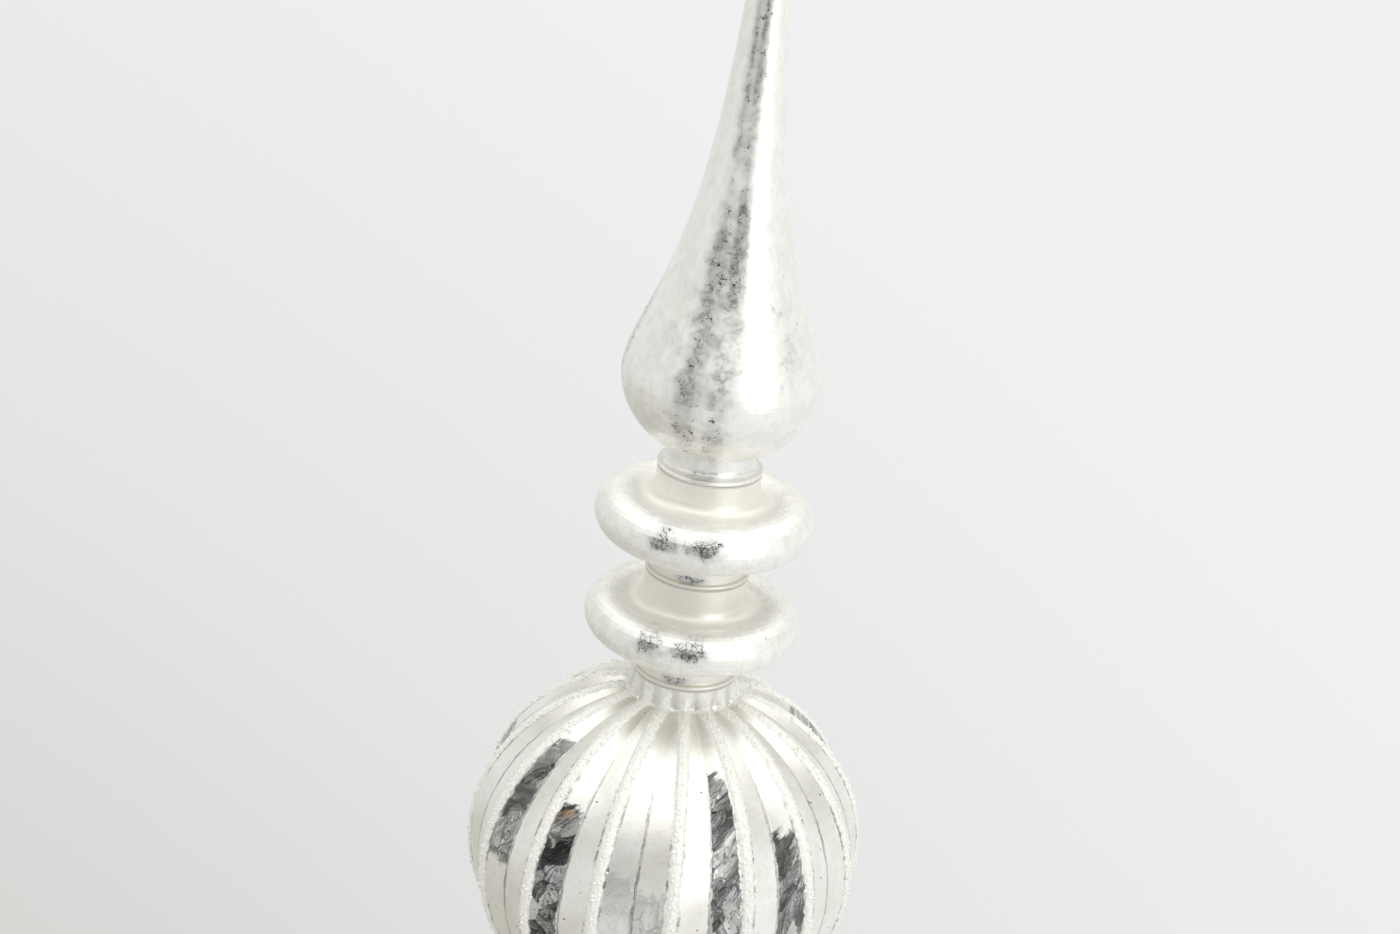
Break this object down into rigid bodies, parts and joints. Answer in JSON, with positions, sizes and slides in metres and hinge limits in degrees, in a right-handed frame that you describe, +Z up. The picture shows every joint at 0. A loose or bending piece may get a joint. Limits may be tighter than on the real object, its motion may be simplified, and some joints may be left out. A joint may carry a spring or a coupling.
{
  "type": "icicle hanging ornament",
  "caption": "Hanging ornament of silvered blown glass: a ribbed ball, stacked ring beads and a drop drawn out into a long icicle spike, under a crown cap with a sprung wire loop.",
  "frame": {"origin": "the inside top of the wire loop, where a hook or thread carries the ornament", "axes": "+Z up along the ornament's own axis, away from the spike; +X in the plane of the wire loop"},
  "size_m": [0.0786, 0.0786, 0.3239],
  "materials": {
    "silvered_glass": "aged silvering seen through clear glass, pearly and mottled",
    "frost_grit": "fine sugar-like glass grit",
    "cement": "matte",
    "cap_metal": "satin",
    "hanger_wire": "bright drawn wire"
  },
  "bodies": {
    "hanger": {"hanger_wire": "hanger_wire"},
    "cap": {"crown_cap": "cap_metal"},
    "glass": {"ball_glass": "silvered_glass", "cement_upper": "cement", "upper_ring_glass": "silvered_glass", "cement_middle": "cement", "lower_ring_glass": "silvered_glass", "cement_lower": "cement", "spike_glass": "silvered_glass"}
  },
  "joints": [
    {"name": "loop_push", "type": "slide", "parent": "hanger", "child": "cap", "axis": [0, 0, 1], "range_m": [0, 0.003]},
    {"name": "glass_off", "type": "slide", "parent": "cap", "child": "glass", "axis": [0, 0, -1], "range_m": [0, 0.02]}
  ]
}
